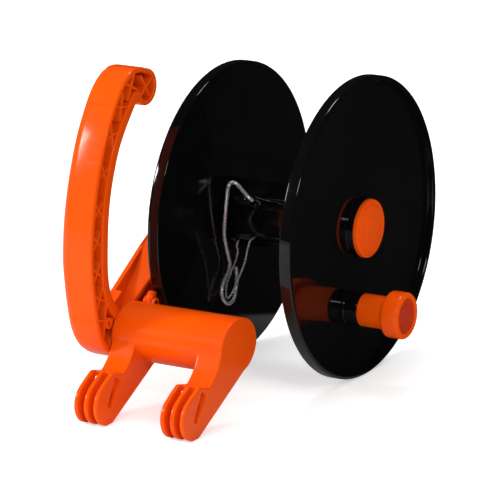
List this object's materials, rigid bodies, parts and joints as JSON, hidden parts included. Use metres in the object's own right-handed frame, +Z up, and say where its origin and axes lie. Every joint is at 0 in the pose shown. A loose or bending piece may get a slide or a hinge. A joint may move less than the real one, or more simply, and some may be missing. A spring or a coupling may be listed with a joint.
{
  "type": "fence wire reel",
  "caption": "Hand-wound wire reel: flanged spool with crank knob on a C-shaped handle frame, and a foot bridge with finned claws that hook on a fence wire.",
  "frame": {"origin": "middle of the footprint, on the surface that the reel stands on", "axes": "+X along the axle towards the crank knob, +Z up, -Y towards the foot bridge and its claws"},
  "size_m": [0.194, 0.314, 0.2364],
  "materials": {
    "orange_plastic": "moulded gloss",
    "dark_orange_plastic": "moulded gloss",
    "black_plastic": "polished gloss",
    "zinc_steel": "zinc plated",
    "galvanised_wire": "drawn and galvanised",
    "nylon": "natural nylon"
  },
  "bodies": {
    "frame": {"handle_frame": "orange_plastic", "foot_bridge": "orange_plastic", "frame_screws": "zinc_steel", "axle": "zinc_steel", "axle_thrust_washer": "nylon", "axle_end_washer": "zinc_steel", "axle_nut": "zinc_steel", "brake_pin": "zinc_steel"},
    "spool": {"left_flange": "black_plastic", "barrel": "black_plastic", "right_flange": "black_plastic", "left_bush": "nylon", "right_bush": "nylon", "left_flange_screws": "zinc_steel", "right_flange_screws": "zinc_steel", "hub_cap": "orange_plastic", "crank_bolt": "zinc_steel", "crank_washer": "zinc_steel", "crank_nut": "zinc_steel", "line_hook": "galvanised_wire", "leader_wire": "galvanised_wire"},
    "knob": {"crank_knob": "orange_plastic", "knob_end_cap": "dark_orange_plastic"},
    "brake": {"brake_lever": "orange_plastic"}
  },
  "joints": [
    {"name": "spool_spin", "type": "hinge", "parent": "frame", "child": "spool", "pos_m": [-0.003, 0.047, 0.11], "axis": [1, 0, 0], "continuous": true},
    {"name": "knob_spin", "type": "hinge", "parent": "spool", "child": "knob", "pos_m": [0.072, 0.0325, 0.05353], "axis": [1, 0, 0], "continuous": true},
    {"name": "brake_pivot", "type": "hinge", "parent": "frame", "child": "brake", "pos_m": [-0.0594, -0.062, 0.067], "axis": [-1, 0, 0], "range_deg": [0, 8]}
  ]
}
